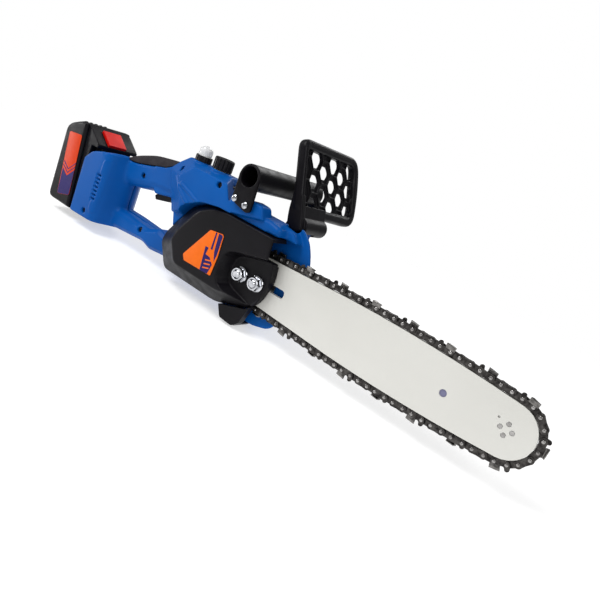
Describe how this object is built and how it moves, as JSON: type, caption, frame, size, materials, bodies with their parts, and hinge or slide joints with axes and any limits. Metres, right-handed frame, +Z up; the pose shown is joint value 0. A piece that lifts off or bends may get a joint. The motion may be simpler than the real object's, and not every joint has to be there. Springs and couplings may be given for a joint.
{
  "type": "battery chainsaw",
  "caption": "Battery chainsaw with rear handle, front tube handle, lattice hand guard, guide bar, saw chain and slide-in battery pack.",
  "frame": {"origin": "centre of the flat foot under the motor housing", "axes": "+X along the guide bar towards its tip, +Y to the saw's left (the bar and its cover are on the right), +Z up"},
  "size_m": [0.6506, 0.1562, 0.2045],
  "materials": {
    "blue_plastic": "moulded, fine grain",
    "black_plastic": "moulded, semi-matt",
    "grip_rubber": "soft, matt",
    "steel": "plain steel",
    "bar_paint": "light grey paint on steel",
    "chrome": "bright zinc",
    "motor_copper": "copper windings on a steel core",
    "aluminium": "die-cast",
    "red_plastic": "gloss",
    "label_print": "printed film, orange and purple blocks, no lettering",
    "clear_plastic": "clear soft plastic",
    "tank_plastic": "translucent milky",
    "circuit_board": "glass-epoxy board",
    "cell_wrap": "shrink wrap"
  },
  "bodies": {
    "housing": {"bar_plate": "steel", "bar_stud_1": "steel", "bar_stud_2": "steel", "chip_guide": "black_plastic", "controller_board": "circuit_board", "front_handle": "black_plastic", "gearbox_plate": "aluminium", "grip_pad": "grip_rubber", "guard_pin": "steel", "handle_screw_1": "chrome", "handle_screw_2": "chrome", "handle_screw_3": "chrome", "housing_left": "blue_plastic", "housing_right": "blue_plastic", "housing_screw_1": "steel", "housing_screw_2": "steel", "housing_screw_3": "steel", "housing_screw_4": "steel", "housing_screw_5": "steel", "motor_can": "steel", "oil_tank": "tank_plastic", "oil_tube": "clear_plastic", "primer_collar": "black_plastic", "shaft_bearing_outer": "steel", "switch_module": "black_plastic", "terminal_block": "black_plastic", "trigger_pin": "steel", "trigger_spring": "steel"},
    "cover": {"sprocket_cover": "black_plastic", "cover_label": "label_print"},
    "front_nut": {"bar_nut_2": "chrome"},
    "rear_nut": {"bar_nut_1": "chrome"},
    "bar": {"guide_bar": "bar_paint", "saw_chain": "steel", "nose_rivet_1": "steel", "nose_rivet_2": "steel", "nose_rivet_3": "steel", "nose_rivet_4": "steel"},
    "nose_wheel": {"nose_sprocket": "steel"},
    "output": {"output_shaft": "steel", "drive_sprocket": "steel", "sprocket_clip": "steel", "driven_gear": "steel", "shaft_bearing_inner": "steel"},
    "rotor": {"motor_rotor": "motor_copper", "motor_pinion": "steel", "cooling_fan": "black_plastic"},
    "tensioner": {"tension_block": "steel"},
    "adjuster": {"tension_screw": "steel"},
    "guard": {"hand_guard": "black_plastic"},
    "trigger": {"trigger": "black_plastic"},
    "lock": {"lock_button": "black_plastic"},
    "cap": {"oil_cap": "black_plastic", "oil_cap_gasket": "grip_rubber"},
    "bulb": {"primer_bulb": "clear_plastic"},
    "pack": {"battery_case": "black_plastic", "battery_top": "black_plastic", "battery_label": "label_print", "cell_pack": "cell_wrap"},
    "pack_button": {"battery_button": "red_plastic"}
  },
  "joints": [
    {"name": "cover_lift", "type": "slide", "parent": "housing", "child": "cover", "axis": [0, -1, 0], "range_m": [0, 0.06]},
    {"name": "rear_nut_turn", "type": "hinge", "parent": "cover", "child": "rear_nut", "pos_m": [0.0355, -0.074, 0.0557], "axis": [0, -1, 0], "range_deg": [0, 1440]},
    {"name": "front_nut_turn", "type": "hinge", "parent": "cover", "child": "front_nut", "pos_m": [0.0575, -0.074, 0.0557], "axis": [0, -1, 0], "range_deg": [0, 1440]},
    {"name": "bar_tension", "type": "slide", "parent": "housing", "child": "bar", "axis": [-1, 0, 0], "range_m": [0, 0.006]},
    {"name": "tension_block_slide", "type": "slide", "parent": "housing", "child": "tensioner", "axis": [-1, 0, 0], "range_m": [0, 0.006]},
    {"name": "tension_screw_turn", "type": "hinge", "parent": "housing", "child": "adjuster", "pos_m": [0.058, -0.0466, 0.041], "axis": [1, 0, 0], "range_deg": [0, 2705]},
    {"name": "nose_wheel_spin", "type": "hinge", "parent": "bar", "child": "nose_wheel", "pos_m": [0.3222, -0.056, 0.057], "axis": [0, 1, 0], "continuous": true},
    {"name": "sprocket_spin", "type": "hinge", "parent": "housing", "child": "output", "pos_m": [-0.032, -0.056, 0.057], "axis": [0, 1, 0], "continuous": true},
    {"name": "motor_spin", "type": "hinge", "parent": "housing", "child": "rotor", "pos_m": [0, -0.006, 0.057], "axis": [0, 1, 0], "continuous": true},
    {"name": "guard_tip", "type": "hinge", "parent": "housing", "child": "guard", "pos_m": [0.062, -0.026, 0.123], "axis": [0, 1, 0], "range_deg": [0, 18]},
    {"name": "trigger_pull", "type": "hinge", "parent": "housing", "child": "trigger", "pos_m": [-0.102, -0.039, 0.09], "axis": [0, 1, 0], "range_deg": [0, 11], "stiffness_Nm_per_rad": 0.6, "springref_deg": -8.59},
    {"name": "lock_press", "type": "slide", "parent": "housing", "child": "lock", "axis": [0, -1, 0], "range_m": [0, 0.003], "stiffness_N_per_m": 400, "springref_m": -0.002},
    {"name": "oil_cap_turn", "type": "hinge", "parent": "housing", "child": "cap", "pos_m": [-0.044, -0.06, 0.147], "axis": [0, 0, 1], "range_deg": [0, 720]},
    {"name": "primer_press", "type": "slide", "parent": "housing", "child": "bulb", "axis": [0, 0, -1], "range_m": [0, 0.004], "stiffness_N_per_m": 500, "springref_m": -0.002},
    {"name": "battery_slide", "type": "slide", "parent": "housing", "child": "pack", "axis": [0, 0, 1], "range_m": [0, 0.12]},
    {"name": "battery_button_press", "type": "slide", "parent": "pack", "child": "pack_button", "axis": [-0.565, 0, -0.8251], "range_m": [0, 0.0025], "stiffness_N_per_m": 600, "springref_m": -0.002}
  ],
  "couplings": [
    {"joint": "motor_spin", "follows": "sprocket_spin", "ratio": -3},
    {"joint": "nose_wheel_spin", "follows": "sprocket_spin", "ratio": 0.66667},
    {"joint": "tension_block_slide", "follows": "bar_tension", "ratio": 1},
    {"joint": "tension_screw_turn", "follows": "bar_tension", "rad_per_m": 7854}
  ]
}
